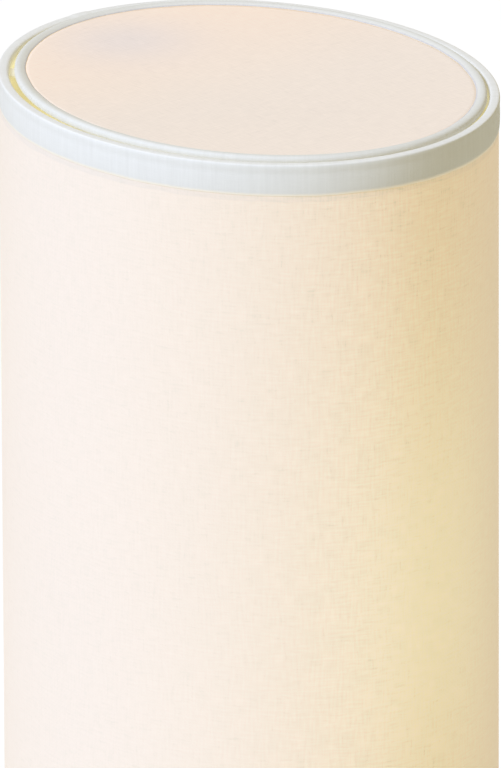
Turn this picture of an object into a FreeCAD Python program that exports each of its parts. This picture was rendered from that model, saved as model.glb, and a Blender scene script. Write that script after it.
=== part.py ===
"""Column floor lamp: an oval fabric shade with a lift-off top diffuser, over a weighted stand.

Millimetres, +Z up. The origin is on the floor at the centre of the oval. The long axis of the
oval runs along X and the cord leaves the base towards +Y. Three rigid groups make the lamp: the
stand with its three lampholders, the shade that lowers over it, and the lid in the shade's rim.
"""

import FreeCAD, Part
import math
import os
import re

import Sketcher

V = FreeCAD.Vector

FLANGE_SCREWS = 3
HOLDERS = range(3)
TINY = 1e-6

# ---------------------------------------------------------------- driving dimensions

SIZES = [
    ("lamp_height", 1500, "floor to the crest of the lid's bead"),
    ("shade_length", 320, "shade, long axis over the fabric"),
    ("shade_width", 270, "shade, short axis over the fabric"),
    ("shade_gap", 22, "floor to the lower edge of the shade"),
    ("fabric_thick", 0.8, "woven cover of the shade"),
    ("liner_thick", 1.0, "stiff translucent sheet behind the cover"),
    ("glue_gap", 0.05, "glue line between laminated layers"),
    ("wire_dia", 3.2, "wire of the shade's frame"),
    ("weld_gap", 0.2, "air left at a welded or glued touch"),
    ("tape_thick", 0.5, "trim tape"),
    ("tape_band", 19, "height of the tape on the outside"),
    ("tape_turn", 8, "height of the tape on the inside, below its round"),
    ("tape_ease", 0.1, "air between the tape and what it wraps"),
    ("seam_width", 12, "lapped seam down the shade"),
    ("seam_thick", 0.5, "thickness of the seam's lap"),
    ("stay_angle", 45, "place of the frame's uprights on the oval, degrees"),
    ("low_ring_height", 520, "floor to the lower middle ring"),
    ("high_ring_height", 1000, "floor to the upper middle ring"),
    ("lid_proud", 2.5, "lid's bead above the shade's rim"),
    ("lid_gap", 2.2, "gap between the lid's bead and the rim"),
    ("lid_shift_x", 1.4, "where the loose lid has settled, along X"),
    ("lid_shift_y", 0.4, "where the loose lid has settled, along Y"),
    ("lid_wire_dia", 4.8, "wire of the lid's ring"),
    ("lid_tape_thick", 0.45, "tape around the lid's ring"),
    ("panel_thick", 1.2, "opal panel of the lid"),
    ("lid_fabric_thick", 0.6, "woven face of the lid"),
    ("panel_rise", 1.4, "lid's face above the centre of its wire"),
    ("rest_width", 14, "width of a bracket that carries the lid"),
    ("rest_thick", 1.2, "sheet of that bracket"),
    ("rest_leg", 18, "length of its leg on an upright"),
    ("rest_reach", 8, "length of its ledge under the lid"),
    ("rest_drop", 9, "ledge above the top of that leg"),
    ("rest_ease", 0.3, "air between the bracket and the tape"),
    ("seat_gap", 0.2, "air between the lid and its ledges"),
    ("foot_dia", 30, "rubber foot"),
    ("foot_height", 5, "height of a rubber foot"),
    ("foot_x", 100, "foot from the centre along X"),
    ("foot_y", 78, "foot from the centre along Y"),
    ("plate_inset", 4, "edge of the base plate inside the fabric"),
    ("plate_thick", 12, "steel base plate"),
    ("plate_round", 1.5, "rounding of its upper edge"),
    ("cord_hole", 12, "hole for the cord up into the stem"),
    ("groove_width", 10, "cord groove under the plate"),
    ("groove_depth", 8, "depth of the cord groove"),
    ("bush_length", 14, "cord bush inside the groove"),
    ("bush_bore", 6.5, "bore of the cord bush"),
    ("bush_collar", 2.5, "thickness of the bush's collar"),
    ("bush_collar_width", 16, "width of the bush's collar"),
    ("bush_ease", 0.1, "air around the bush in its groove"),
    ("tab_width", 20, "tab that centres the foot of the shade"),
    ("tab_thick", 2, "sheet of that tab"),
    ("tab_foot", 14, "length of its foot"),
    ("tab_height", 32, "height of its upright"),
    ("tab_gap", 2, "air between the upright and the shade's frame"),
    ("stem_dia", 22, "stem tube"),
    ("stem_wall", 1.5, "wall of the stem tube"),
    ("stem_ease", 0.05, "radial air between the stem and what holds it"),
    ("flange_dia", 72, "flange at the foot of the stem"),
    ("flange_thick", 8, "thickness of the flange"),
    ("boss_dia", 34, "boss of the flange"),
    ("boss_height", 26, "height of the boss over the plate"),
    ("stem_seat", 3, "floor of the boss under the stem"),
    ("flange_screw_dia", 6, "screw through the flange"),
    ("flange_screw_circle", 54, "pitch circle of those screws"),
    ("flange_screw_head", 10, "head of those screws"),
    ("flange_screw_head_height", 4, "height of that head"),
    ("screw_ease", 0.1, "radial air around a screw"),
    ("cap_spigot", 20, "plug of the stem cap inside the tube"),
    ("cap_dia", 34, "shoulder that carries the shade"),
    ("cap_thick", 6, "thickness of that shoulder"),
    ("post_side", 10, "square post that stops the shade turning"),
    ("post_height", 22, "height of the post over the shoulder"),
    ("post_lead", 1.5, "bevel at the top of the post"),
    ("post_gap", 0.3, "air around the post in the shade's hub"),
    ("hub_dia", 46, "hub of the shade's spider"),
    ("arm_width", 12, "spider arm"),
    ("arm_thick", 4, "thickness of the spider"),
    ("shade_drop", 50, "lid's crest to the top of the spider"),
    ("first_holder", 330, "floor to the lowest lampholder's bracket"),
    ("holder_pitch", 400, "from one lampholder to the next"),
    ("holder_reach", 50, "stem's axis to a lampholder's axis"),
    ("collar_dia", 31, "bracket collar around the stem"),
    ("collar_height", 14, "height of the collar"),
    ("bracket_width", 24, "bracket arm"),
    ("bracket_thick", 3, "thickness of the bracket arm"),
    ("grub_dia", 4, "screw that clamps the collar"),
    ("grub_head", 7, "head of that screw"),
    ("grub_head_height", 4, "height of that head"),
    ("nipple_dia", 10, "threaded nipple under a lampholder"),
    ("nipple_bore", 7, "bore of the nipple"),
    ("nipple_drop", 8, "nipple below the bracket arm"),
    ("nipple_rise", 10, "nipple above the bracket arm"),
    ("nut_width", 14, "nut across its flats"),
    ("nut_height", 4, "height of the nut"),
    ("holder_dia", 40, "lampholder"),
    ("holder_height", 44, "height of the lampholder"),
    ("holder_floor", 14, "solid foot of the lampholder"),
    ("holder_taper", 5, "taper round that foot"),
    ("holder_bore", 28.4, "bore of the lampholder"),
    ("holder_flare", 2, "flare at the mouth of that bore"),
    ("contact_dia", 13, "centre contact"),
    ("contact_thick", 2, "thickness of the centre contact"),
    ("cap_thread_dia", 26.2, "bulb cap over its thread"),
    ("cap_root_dia", 24.4, "bulb cap at the thread's root"),
    ("cap_pitch", 3.62, "pitch of the bulb's thread"),
    ("cap_turns", 5, "ridges of thread on the cap"),
    ("cap_tip", 4, "height of the cap's tapered tip"),
    ("cap_tip_dia", 10, "stub at the end of that tip"),
    ("cap_collar", 2, "plain collar above the thread"),
    ("bulb_dia", 60, "glass of the bulb"),
    ("bulb_height", 81, "glass above its cap"),
    ("bulb_neck", 25.6, "neck of the glass"),
    ("bulb_shoulder", 36, "length of the tapered neck"),
    ("glass_thick", 0.8, "wall of the glass"),
    ("lead_dia", 5, "sheathed lead to a lampholder"),
    ("riser_dia", 6, "main lead inside the stem"),
    ("lead_drop", 52, "hole in the stem below a bracket"),
    ("lead_bend", 25, "bend of a lead, on its centre line"),
    ("lead_entry", 4, "length of a lead inside its nipple"),
    ("lead_hole", 8, "hole in the stem for a lead"),
]

doc = FreeCAD.newDocument("column_floor_lamp")
sheet = doc.addObject("Spreadsheet::Sheet", "Sizes")
for row, (alias, value, note) in enumerate(SIZES, start=1):
    sheet.set(f"A{row}", note)
    sheet.set(f"B{row}", str(value))
    sheet.setAlias(f"B{row}", alias)
doc.recompute()

# ---------------------------------------------------------------- expressions

RESERVED = ("sin", "cos", "atan", "sqrt", "deg")


def bound(text):
    """The expression with each size's name pointed at the sheet."""

    def point(match):
        word = match.group(0)
        return word if word in RESERVED else f"Sizes.{word}"

    return re.sub(r"[a-z_][a-z0-9_]*", point, text)


def value_of(text):
    """The expression's present value."""
    result = sheet.evalExpression(bound(text))
    return float(getattr(result, "Value", result))


def tie(thing, **expressions):
    """Bind properties of a document object, such as Length, to expressions."""
    for name, text in expressions.items():
        thing.setExpression(name, bound(text))


def put(thing, x="0", y="0", z="0"):
    """Place an object at x, y, z, each an expression."""
    for letter, text in zip("xyz", (x, y, z)):
        thing.setExpression(f"Placement.Base.{letter}", bound(text))


def turn(thing, axis, degrees):
    """Turn an object about an axis through its own origin."""
    thing.Placement = FreeCAD.Placement(thing.Placement.Base, FreeCAD.Rotation(axis, degrees))


def turn_by(thing, angle):
    """Turn an object about the vertical by an angle that is an expression."""
    turn(thing, V(0, 0, 1), 1)
    tie(thing, **{"Placement.Rotation.Angle": angle})


# Levels over the floor.
RIM_CREST = "(lamp_height - lid_proud)"
WALL_THICK = "(fabric_thick + glue_gap + liner_thick + weld_gap + wire_dia)"
TAPE_ROUND = f"(({WALL_THICK} + tape_ease) / 2 + tape_thick)"
RIM_MID = f"({RIM_CREST} - {TAPE_ROUND})"
HEM_MID = f"(shade_gap + {TAPE_ROUND})"
PLATE_TOP = "(foot_height + plate_thick)"
STEM_FOOT = f"({PLATE_TOP} + stem_seat)"
HUB_UNDER = "(lamp_height - shade_drop - arm_thick)"
STEM_TOP = f"({HUB_UNDER} - cap_thick)"
LID_BEAD = "(lid_wire_dia / 2 + glue_gap + lid_tape_thick)"
LID_MID = f"(lamp_height - {LID_BEAD})"
LID_UNDER = f"(lamp_height - 2 * {LID_BEAD})"
LEDGE_TOP = f"({LID_UNDER} - seat_gap)"

# How far each layer of the wall lies inside the fabric's face.
LINER_OUT = "(fabric_thick + glue_gap)"
LINER_IN = f"({LINER_OUT} + liner_thick)"
WIRE_MID = f"({LINER_IN} + weld_gap + wire_dia / 2)"
WIRE_IN = f"({LINER_IN} + weld_gap + wire_dia)"
TAPE_MID = f"({TAPE_ROUND} - tape_thick)"
TAPE_IN = f"(2 * {TAPE_ROUND} - tape_thick)"
MID_RING = f"({WIRE_IN} + weld_gap + wire_dia / 2)"
LID_WIRE_MID = f"({TAPE_IN} + lid_gap + {LID_BEAD})"


def half_long(inset):
    return f"(shade_length / 2 - {inset})"


def half_short(inset):
    return f"(shade_width / 2 - {inset})"


# ---------------------------------------------------------------- building blocks

nodes = []


def node(thing, name):
    """Name a finished sub-part and keep it for the export."""
    thing.Label = name
    nodes.append(thing)
    return thing


def new_body(name):
    return doc.addObject("PartDesign::Body", f"{name}_body")


def new_sketch(body, role, name, lift="0"):
    """A sketch on one of the body's own origin planes, lifted off it by an expression."""
    sketch = body.newObject("Sketcher::SketchObject", name)
    plane = next(item for item in body.Origin.OriginFeatures if item.Role == role)
    sketch.AttachmentSupport = [(plane, "")]
    sketch.MapMode = "FlatFace"
    sketch.setExpression("AttachmentOffset.Base.z", bound(lift))
    return sketch


def fix(sketch, constraint, name, text):
    """Add a named constraint whose value is an expression."""
    index = sketch.addConstraint(constraint)
    sketch.renameConstraint(index, name)
    sketch.setExpression(f"Constraints.{name}", bound(text))


def add_oval(sketch, name, inset):
    """An ellipse parallel to the fabric's face, inset from it."""
    first = sketch.GeometryCount
    long_half = value_of(half_long(inset))
    short_half = value_of(half_short(inset))
    sketch.addGeometry(Part.Ellipse(V(long_half, 0, 0), V(0, short_half, 0), V(0, 0, 0)), False)
    sketch.exposeInternalGeometry(first)
    sketch.addConstraint(Sketcher.Constraint("Coincident", first, 3, -1, 1))
    sketch.addConstraint(Sketcher.Constraint("Horizontal", first + 1))
    long_axis = Sketcher.Constraint("Distance", first + 1, 2 * long_half)
    short_axis = Sketcher.Constraint("Distance", first + 2, 2 * short_half)
    fix(sketch, long_axis, f"{name}_long", f"2 * {half_long(inset)}")
    fix(sketch, short_axis, f"{name}_short", f"2 * {half_short(inset)}")


def add_circle(sketch, name, radius, x="0", y="0"):
    """A circle with its radius and centre held by expressions."""
    index = sketch.GeometryCount
    centre = V(value_of(x), value_of(y), 0)
    sketch.addGeometry(Part.Circle(centre, V(0, 0, 1), value_of(radius)), False)
    fix(sketch, Sketcher.Constraint("Radius", index, value_of(radius)), f"{name}_r", radius)
    for letter, text in (("X", x), ("Y", y)):
        if text == "0":
            axis = -2 if letter == "X" else -1
            sketch.addConstraint(Sketcher.Constraint("PointOnObject", index, 3, axis))
        else:
            place = Sketcher.Constraint(f"Distance{letter}", -1, 1, index, 3, value_of(text))
            fix(sketch, place, f"{name}_{letter}", text)


def add_outline(sketch, name, corners):
    """A closed outline of straight lines; each corner is a pair of expressions."""
    first = sketch.GeometryCount
    points = [V(value_of(x), value_of(y), 0) for x, y in corners]
    count = len(points)
    for i in range(count):
        sketch.addGeometry(Part.LineSegment(points[i], points[(i + 1) % count]), False)
    for i in range(count):
        here, following = first + i, first + (i + 1) % count
        sketch.addConstraint(Sketcher.Constraint("Coincident", here, 2, following, 1))
    for i, (x, y) in enumerate(corners):
        for letter, text, part in (("X", x, points[i].x), ("Y", y, points[i].y)):
            if abs(part) < TINY:
                axis = -2 if letter == "X" else -1
                sketch.addConstraint(Sketcher.Constraint("PointOnObject", first + i, 1, axis))
            else:
                place = Sketcher.Constraint(f"Distance{letter}", -1, 1, first + i, 1, part)
                fix(sketch, place, f"{name}_{i}{letter}", text)


def rectangle(left, right, low, high):
    return [(left, low), (right, low), (right, high), (left, high)]


def pad(body, sketch, length, middle=False):
    feature = body.newObject("PartDesign::Pad", f"{sketch.Name}_pad")
    feature.Profile = sketch
    feature.Midplane = middle
    tie(feature, Length=length)
    return feature


def pocket(body, sketch, length, flip=False, middle=False):
    feature = body.newObject("PartDesign::Pocket", f"{sketch.Name}_pocket")
    feature.Profile = sketch
    feature.Reversed = flip
    feature.Midplane = middle
    tie(feature, Length=length)
    return feature


def revolve(body, sketch):
    feature = body.newObject("PartDesign::Revolution", f"{sketch.Name}_turned")
    feature.Profile = sketch
    feature.ReferenceAxis = (sketch, ["V_Axis"])
    return feature


def oval_wall(name, outer, inner, low, high):
    """A straight oval tube between two insets from the fabric's face and two levels."""
    body = new_body(name)
    sketch = new_sketch(body, "XY_Plane", f"{name}_section")
    add_oval(sketch, "outer", outer)
    add_oval(sketch, "inner", inner)
    pad(body, sketch, f"{high} - {low}")
    put(body, z=low)
    return body


def oval_disc(name, inset, low, thick):
    """A flat oval sheet."""
    body = new_body(name)
    sketch = new_sketch(body, "XY_Plane", f"{name}_section")
    add_oval(sketch, "edge", inset)
    pad(body, sketch, thick)
    put(body, z=low)
    return body


def sweep_oval(body, name, profile, inset):
    """Sweep a profile sketched on the XZ plane once around the oval."""
    path = new_sketch(body, "XY_Plane", f"{name}_path")
    add_oval(path, "path", inset)
    pipe = body.newObject("PartDesign::AdditivePipe", f"{name}_pipe")
    pipe.Profile = profile
    pipe.Spine = (path, ["Edge1"])
    return pipe


def oval_wire(name, inset, level, diameter):
    """A round wire bent into the oval."""
    body = new_body(name)
    profile = new_sketch(body, "XZ_Plane", f"{name}_profile")
    add_circle(profile, "wire", f"{diameter} / 2", x=half_long(inset))
    sweep_oval(body, name, profile, inset)
    put(body, z=level)
    return body


def cylinder(name, radius, height, x="0", y="0", z="0"):
    solid = doc.addObject("Part::Cylinder", name)
    tie(solid, Radius=radius, Height=height)
    put(solid, x, y, z)
    return solid


def box(name, length, width, height, x="0", y="0", z="0"):
    """A box centred on x and y, standing on z."""
    solid = doc.addObject("Part::Box", name)
    tie(solid, Length=length, Width=width, Height=height)
    put(solid, f"({x}) - ({length}) / 2", f"({y}) - ({width}) / 2", z)
    return solid


def cut(name, base, tool):
    result = doc.addObject("Part::Cut", name)
    result.Base = base
    result.Tool = tool
    return result


def fuse(name, pieces):
    result = doc.addObject("Part::MultiFuse", name)
    result.Shapes = pieces
    return result


def group(name, pieces):
    """Like pieces that share one sub-part stay separate solids."""
    result = doc.addObject("Part::Compound", f"{name}_group")
    result.Links = pieces
    return node(result, name)


CORNERS = [(1, 1), (-1, 1), (-1, -1), (1, -1)]
OVAL_ENDS = [
    (0, half_long, 1, 0),
    (90, half_short, 0, 1),
    (180, half_long, -1, 0),
    (270, half_short, 0, -1),
]


# ---------------------------------------------------------------- stand

def make_feet():
    feet = []
    for i, (sx, sy) in enumerate(CORNERS):
        foot = cylinder(f"foot_{i}", "foot_dia / 2", "foot_height", f"{sx} * foot_x", f"{sy} * foot_y")
        feet.append(foot)
    group("rubber_feet", feet)


def screw_circle(body, sketch, depth):
    """The holes on the flange screws' pitch circle, cut upwards from the sketch."""
    add_circle(sketch, "hole", "flange_screw_dia / 2 + screw_ease", x="flange_screw_circle / 2")
    first = pocket(body, sketch, depth, flip=True)
    pattern = body.newObject("PartDesign::PolarPattern", f"{sketch.Name}_circle")
    pattern.Originals = [first]
    pattern.Axis = (sketch, ["N_Axis"])
    pattern.Angle = 360
    pattern.Occurrences = FLANGE_SCREWS
    body.Tip = pattern
    return pattern


def make_base_plate():
    body = oval_disc("plate", "plate_inset", "foot_height", "plate_thick")
    doc.recompute()
    disc, edge = body.Tip, top_edge(body)
    rounding = body.newObject("PartDesign::Fillet", "plate_rounding")
    rounding.Base = (disc, [edge])
    tie(rounding, Radius="plate_round")
    hole = new_sketch(body, "XY_Plane", "plate_cord_hole")
    add_circle(hole, "hole", "cord_hole / 2")
    pocket(body, hole, "plate_thick", flip=True)
    groove = new_sketch(body, "XY_Plane", "plate_groove")
    side = "groove_width / 2"
    add_outline(groove, "groove", rectangle(f"-{side}", side, "0", "shade_width / 2"))
    pocket(body, groove, "groove_depth", flip=True)
    screw_circle(body, new_sketch(body, "XY_Plane", "plate_screw_hole"), "plate_thick")
    node(body, "base_plate")


def top_edge(body):
    """Name of the highest edge of a plain disc."""
    edges = body.Shape.Edges
    highest = max(range(len(edges)), key=lambda i: edges[i].CenterOfMass.z)
    return f"Edge{highest + 1}"


def make_cord_bush():
    edge = half_short("plate_inset")
    height = "(groove_depth - 2 * bush_ease)"
    level = "foot_height + bush_ease"
    middle = f"{level} + {height} / 2"
    width = "groove_width - 2 * bush_ease"
    shank = box("bush_shank", width, "bush_length", height, y=f"{edge} - bush_length / 2", z=level)
    collar = box(
        "bush_flange", "bush_collar_width", "bush_collar", height, y=f"{edge} + bush_collar / 2", z=level
    )
    bore = cylinder("bush_hole", "bush_bore / 2", "bush_length + bush_collar", z=middle)
    turn(bore, V(1, 0, 0), -90)
    put(bore, y=f"{edge} - bush_length", z=middle)
    node(cut("bush_bored", fuse("bush_blank", [shank, collar]), bore), "cord_bush")


def make_locating_tabs():
    tabs = []
    for i, (angle, half, sx, sy) in enumerate(OVAL_ENDS):
        body = new_body(f"tab_{i}")
        profile = new_sketch(body, "XZ_Plane", f"tab_{i}_profile")
        corners = [
            ("0", "0"),
            ("0", "tab_height"),
            ("-tab_thick", "tab_height"),
            ("-tab_thick", "tab_thick"),
            ("-tab_foot", "tab_thick"),
            ("-tab_foot", "0"),
        ]
        add_outline(profile, "tab", corners)
        pad(body, profile, "tab_width", middle=True)
        turn(body, V(0, 0, 1), angle)
        face = half(f"({TAPE_IN} + tab_gap)")
        put(body, f"{sx} * {face}", f"{sy} * {face}", PLATE_TOP)
        tabs.append(body)
    group("locating_tabs", tabs)


def make_stem_flange():
    body = new_body("flange")
    profile = new_sketch(body, "XZ_Plane", "flange_profile")
    seat = "(stem_dia / 2 + stem_ease)"
    corners = [
        ("cord_hole / 2", "0"),
        ("flange_dia / 2", "0"),
        ("flange_dia / 2", "flange_thick"),
        ("boss_dia / 2", "flange_thick"),
        ("boss_dia / 2", "boss_height"),
        (seat, "boss_height"),
        (seat, "stem_seat"),
        ("cord_hole / 2", "stem_seat"),
    ]
    add_outline(profile, "flange", corners)
    revolve(body, profile)
    screw_circle(body, new_sketch(body, "XY_Plane", "flange_screw_hole"), "flange_thick")
    put(body, z=PLATE_TOP)
    node(body, "stem_flange")


def make_flange_screws():
    screws = []
    seat = f"{PLATE_TOP} + flange_thick"
    depth = "flange_thick + plate_thick"
    for i in range(FLANGE_SCREWS):
        angle = 360 / FLANGE_SCREWS * i
        x = f"flange_screw_circle / 2 * cos({angle})"
        y = f"flange_screw_circle / 2 * sin({angle})"
        head = cylinder(f"flange_head_{i}", "flange_screw_head / 2", "flange_screw_head_height", x, y, seat)
        shank = cylinder(f"flange_shank_{i}", "flange_screw_dia / 2", depth, x, y, "foot_height")
        screws.append(fuse(f"flange_screw_{i}", [head, shank]))
    group("flange_screws", screws)


def holder_level(i):
    return f"(first_holder + {i} * holder_pitch)"


def holder_side(i):
    """Lampholders stand in turn on the +X and the -X side of the stem."""
    return 1 if i % 2 == 0 else -1


def make_stem():
    body = new_body("stem_tube")
    section = new_sketch(body, "XY_Plane", "stem_section")
    add_circle(section, "outer", "stem_dia / 2")
    add_circle(section, "inner", "stem_dia / 2 - stem_wall")
    pad(body, section, f"{STEM_TOP} - {STEM_FOOT}")
    for side, name in ((1, "right"), (-1, "left")):
        holes = new_sketch(body, "YZ_Plane", f"stem_holes_{name}")
        for i in HOLDERS:
            if holder_side(i) == side:
                level = f"{holder_level(i)} - lead_drop - {STEM_FOOT}"
                add_circle(holes, f"hole_{i}", "lead_hole / 2", y=level)
        pocket(body, holes, "stem_dia", flip=side > 0)
    put(body, z=STEM_FOOT)
    node(body, "stem")


def make_stem_cap():
    body = new_body("stem_plug")
    profile = new_sketch(body, "XZ_Plane", "stem_plug_profile")
    spigot = "stem_dia / 2 - stem_wall - stem_ease"
    corners = [
        ("0", "-cap_spigot"),
        (spigot, "-cap_spigot"),
        (spigot, "0"),
        ("cap_dia / 2", "0"),
        ("cap_dia / 2", "cap_thick"),
        ("0", "cap_thick"),
    ]
    add_outline(profile, "plug", corners)
    revolve(body, profile)
    square = new_sketch(body, "XY_Plane", "stem_plug_post", lift="cap_thick")
    side = "post_side / 2"
    add_outline(square, "post", rectangle(f"-{side}", side, f"-{side}", side))
    post = pad(body, square, "post_height")
    doc.recompute()
    top = value_of("cap_thick + post_height")
    rim = [
        f"Edge{i + 1}"
        for i, edge in enumerate(body.Shape.Edges)
        if abs(edge.CenterOfMass.z - top) < TINY
    ]
    bevel = body.newObject("PartDesign::Chamfer", "stem_plug_bevel")
    bevel.Base = (post, rim)
    tie(bevel, Size="post_lead")
    put(body, z=STEM_TOP)
    node(body, "stem_cap")


# ---------------------------------------------------------------- lampholders and bulbs

def make_bracket(i):
    body = new_body(f"bracket_{i}")
    collar = new_sketch(body, "XY_Plane", f"bracket_{i}_collar")
    add_circle(collar, "outer", "collar_dia / 2")
    add_circle(collar, "inner", "stem_dia / 2 + stem_ease")
    pad(body, collar, "collar_height")
    arm = new_sketch(body, "XY_Plane", f"bracket_{i}_arm")
    side = "bracket_width / 2"
    start = "stem_dia / 2 + stem_ease + weld_gap"
    end = "holder_reach + bracket_width / 2"
    add_outline(arm, "arm", rectangle(start, end, f"-{side}", side))
    pad(body, arm, "bracket_thick")
    hole = new_sketch(body, "XY_Plane", f"bracket_{i}_hole")
    add_circle(hole, "hole", "nipple_dia / 2 + screw_ease", x="holder_reach")
    pocket(body, hole, "bracket_thick", flip=True)
    grub = new_sketch(body, "YZ_Plane", f"bracket_{i}_grub")
    add_circle(grub, "hole", "grub_dia / 2 + screw_ease", y="collar_height / 2")
    pocket(body, grub, "collar_dia")
    turn(body, V(0, 0, 1), 0 if holder_side(i) > 0 else 180)
    put(body, z=holder_level(i))
    node(body, f"holder_bracket_{i + 1}")


def make_bracket_screws():
    screws = []
    for i in HOLDERS:
        side = -holder_side(i)
        level = f"{holder_level(i)} + collar_height / 2"
        start = "stem_dia / 2 + stem_ease"
        shank = cylinder(f"grub_shank_{i}", "grub_dia / 2", "collar_dia / 2 - stem_dia / 2")
        head = cylinder(f"grub_head_{i}", "grub_head / 2", "grub_head_height")
        for piece, reach in ((shank, start), (head, "collar_dia / 2")):
            turn(piece, V(0, 1, 0), 90 * side)
            put(piece, x=f"{side} * ({reach})", z=level)
        screws.append(fuse(f"grub_{i}", [shank, head]))
    group("bracket_screws", screws)


def axis_x(i):
    return f"{holder_side(i)} * holder_reach"


def make_nipples():
    tubes, nuts = [], []
    for i in HOLDERS:
        x, level = axis_x(i), holder_level(i)
        length = "nipple_drop + bracket_thick + nipple_rise"
        outer = cylinder(f"nipple_out_{i}", "nipple_dia / 2", length, x, z=f"{level} - nipple_drop")
        inner = cylinder(f"nipple_in_{i}", "nipple_bore / 2", length, x, z=f"{level} - nipple_drop")
        tubes.append(cut(f"nipple_{i}", outer, inner))
        nut = doc.addObject("Part::Prism", f"nut_blank_{i}")
        nut.Polygon = 6
        tie(nut, Circumradius="nut_width / sqrt(3)", Height="nut_height")
        put(nut, x, z=f"{level} - nut_height")
        bore = "nipple_dia / 2 + weld_gap"
        hole = cylinder(f"nut_bore_{i}", bore, "nut_height", x, z=f"{level} - nut_height")
        nuts.append(cut(f"nut_{i}", nut, hole))
    group("nipples", tubes)
    group("nipple_nuts", nuts)


def holder_foot(i):
    return f"({holder_level(i)} + bracket_thick)"


def make_holder(i):
    body = new_body(f"holder_{i}")
    profile = new_sketch(body, "XZ_Plane", f"holder_{i}_profile")
    hole = "nipple_dia / 2 + weld_gap"
    corners = [
        (hole, "0"),
        ("holder_dia / 2 - holder_taper", "0"),
        ("holder_dia / 2", "holder_floor / 2"),
        ("holder_dia / 2", "holder_height"),
        ("holder_bore / 2 + holder_flare", "holder_height"),
        ("holder_bore / 2", "holder_height - 2 * holder_flare"),
        ("holder_bore / 2", "holder_floor"),
        (hole, "holder_floor"),
    ]
    add_outline(profile, "holder", corners)
    revolve(body, profile)
    put(body, axis_x(i), z=holder_foot(i))
    node(body, f"lampholder_{i + 1}")


def make_contacts():
    discs = []
    for i in HOLDERS:
        level = f"{holder_foot(i)} + holder_floor"
        discs.append(cylinder(f"contact_{i}", "contact_dia / 2", "contact_thick", axis_x(i), z=level))
    group("centre_contacts", discs)


def bulb_foot(i):
    return f"({holder_foot(i)} + holder_floor + contact_thick + seat_gap)"


CAP_HEIGHT = "(cap_tip + cap_turns * cap_pitch + cap_collar)"


def make_bulb_cap(i):
    body = new_body(f"cap_{i}")
    profile = new_sketch(body, "XZ_Plane", f"cap_{i}_profile")
    corners = [("0", "0"), ("cap_tip_dia / 2", "0"), ("cap_root_dia / 2", "cap_tip")]
    for ridge in range(int(value_of("cap_turns"))):
        corners.append(("cap_thread_dia / 2", f"cap_tip + ({ridge} + 0.5) * cap_pitch"))
        corners.append(("cap_root_dia / 2", f"cap_tip + ({ridge} + 1) * cap_pitch"))
    corners += [("bulb_neck / 2", CAP_HEIGHT), ("0", CAP_HEIGHT)]
    add_outline(profile, "cap", corners)
    revolve(body, profile)
    put(body, axis_x(i), z=bulb_foot(i))
    node(body, f"bulb_cap_{i + 1}")


def bulb_form(name, i, skin):
    """The bulb's outline as a solid, shrunk by a skin."""
    x = axis_x(i)
    foot = f"({bulb_foot(i)} + {CAP_HEIGHT})"
    radius = "(bulb_dia / 2)"
    centre = f"({foot} + bulb_height - {radius})"
    meet = f"sqrt({radius} ^ 2 - (bulb_height - {radius} - bulb_shoulder) ^ 2)"
    globe = doc.addObject("Part::Sphere", f"{name}_globe_{i}")
    tie(globe, Radius=f"{radius} - {skin}")
    put(globe, x, z=centre)
    neck = doc.addObject("Part::Cone", f"{name}_neck_{i}")
    tie(neck, Radius1=f"bulb_neck / 2 - {skin}", Radius2=f"{meet} - {skin}", Height="bulb_shoulder")
    put(neck, x, z=foot)
    return fuse(f"{name}_{i}", [globe, neck])


def make_bulb_glass(i):
    outer = bulb_form("glass_out", i, "0")
    inner = bulb_form("glass_in", i, "glass_thick")
    node(cut(f"glass_{i}", outer, inner), f"bulb_glass_{i + 1}")


def make_leads():
    top_level = f"{holder_level(HOLDERS[-1])} - lead_drop"
    riser = cylinder("riser", "riser_dia / 2", f"{top_level} + lead_dia / 2 - {STEM_FOOT}", z=STEM_FOOT)
    leads = [riser]
    for i in HOLDERS:
        side = holder_side(i)
        level = f"({holder_level(i)} - lead_drop)"
        start = "(riser_dia / 2 + weld_gap)"
        corner = "(holder_reach - lead_bend)"
        out = cylinder(f"lead_out_{i}", "lead_dia / 2", f"{corner} - {start}")
        turn(out, V(0, 1, 0), 90 * side)
        put(out, x=f"{side} * {start}", z=level)
        bend = doc.addObject("Part::Torus", f"lead_bend_{i}")
        tie(bend, Radius1="lead_bend", Radius2="lead_dia / 2")
        bend.Angle3 = 90
        quarter = FreeCAD.Rotation(V(1, 0, 0), 90)
        spin = FreeCAD.Rotation(V(0, 1, 0), 90)
        half = FreeCAD.Rotation(V(0, 0, 1), 0 if side > 0 else 180)
        bend.Placement = FreeCAD.Placement(V(0, 0, 0), half * spin * quarter)
        put(bend, x=f"{side} * {corner}", z=f"{level} + lead_bend")
        rise = "lead_drop - lead_bend - nipple_drop + lead_entry"
        up = cylinder(f"lead_up_{i}", "lead_dia / 2", rise, axis_x(i), z=f"{level} + lead_bend")
        leads.append(fuse(f"lead_{i}", [out, bend, up]))
    group("inner_leads", leads)


# ---------------------------------------------------------------- shade

def make_shade_walls():
    node(oval_wall("cover", "0", "fabric_thick", HEM_MID, RIM_MID), "shade_fabric")
    node(oval_wall("liner", LINER_OUT, LINER_IN, HEM_MID, RIM_MID), "shade_liner")


def make_shade_rings():
    node(oval_wire("rim_wire", WIRE_MID, RIM_MID, "wire_dia"), "top_ring")
    node(oval_wire("hem_wire", WIRE_MID, HEM_MID, "wire_dia"), "bottom_ring")
    rings = [
        oval_wire("low_ring", MID_RING, "low_ring_height", "wire_dia"),
        oval_wire("high_ring", MID_RING, "high_ring_height", "wire_dia"),
    ]
    group("middle_rings", rings)


STAY_X = f"({half_long(WIRE_MID)} * cos(stay_angle))"
STAY_Y = f"({half_short(WIRE_MID)} * sin(stay_angle))"


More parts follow.
